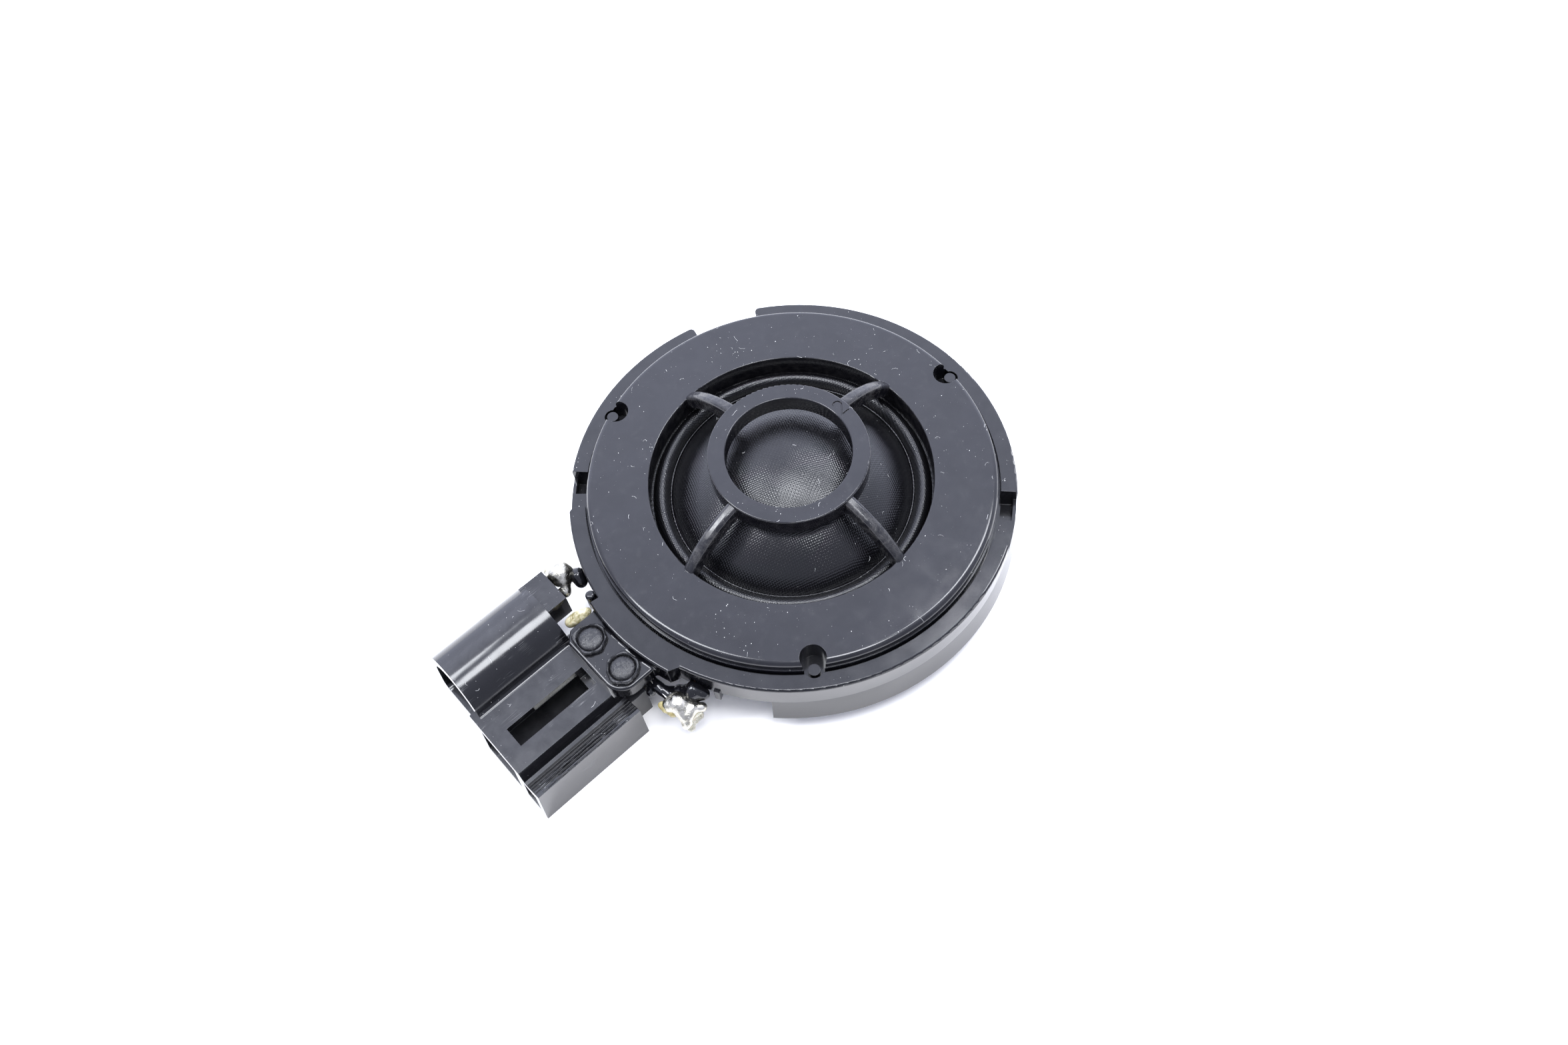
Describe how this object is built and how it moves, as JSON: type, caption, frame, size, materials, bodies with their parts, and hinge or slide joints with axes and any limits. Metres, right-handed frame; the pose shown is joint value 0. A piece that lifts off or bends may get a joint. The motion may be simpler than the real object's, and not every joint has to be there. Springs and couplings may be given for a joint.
{
  "type": "car tweeter",
  "caption": "Soft-dome car tweeter: round plastic frame with spoked guard ring over a woven silk dome, neodymium motor behind, and a moulded two-way connector staked to a side tab.",
  "frame": {"origin": "centre of the magnet yoke's rear face, on the listening axis and on the resting plane", "axes": "+Z along the listening axis, out of the dome; -X towards the connector's mouth"},
  "size_m": [0.0633, 0.047, 0.0143],
  "materials": {
    "cover_plastic": "satin moulded black plastic",
    "basket_plastic": "satin moulded black plastic",
    "connector_plastic": "semi-gloss black plastic",
    "stake_plastic": "black plastic, melted over",
    "ring_plastic": "plain moulded plastic",
    "silk": "coated black woven silk",
    "surround_silk": "coated black woven silk",
    "former_foil": "plain foil",
    "copper": "enamelled copper",
    "plated_steel": "zinc-plated steel",
    "nickel": "nickel plating",
    "felt": "grey felt",
    "tinned_brass": "tin-plated brass",
    "solder": "solidified solder with flux",
    "sealant": "glossy black sealant",
    "adhesive": "amber adhesive"
  },
  "bodies": {
    "housing": {"front_cover": "cover_plastic", "basket": "basket_plastic", "locating_pegs": "basket_plastic", "surround": "surround_silk", "diaphragm_ring": "ring_plastic", "coil_lead_left": "copper", "coil_lead_right": "copper", "yoke": "plated_steel", "pole_plate": "plated_steel", "magnet": "nickel", "damping_felt": "felt", "connector_housing": "connector_plastic", "heat_stakes": "stake_plastic", "terminal_left": "tinned_brass", "terminal_right": "tinned_brass", "solder_joint_left": "solder", "solder_joint_right": "solder", "lead_seal_left": "sealant", "lead_seal_right": "sealant", "adhesive_bead": "adhesive"},
    "diaphragm": {"diaphragm_dome": "silk", "voice_coil_former": "former_foil", "voice_coil": "copper"}
  },
  "joints": [
    {"name": "diaphragm_travel", "type": "slide", "parent": "housing", "child": "diaphragm", "axis": [0, 0, 1], "range_m": [-0.0003, 0.0003], "stiffness_N_per_m": 100, "deforming": ["surround", "coil_lead_left", "coil_lead_right"]}
  ]
}
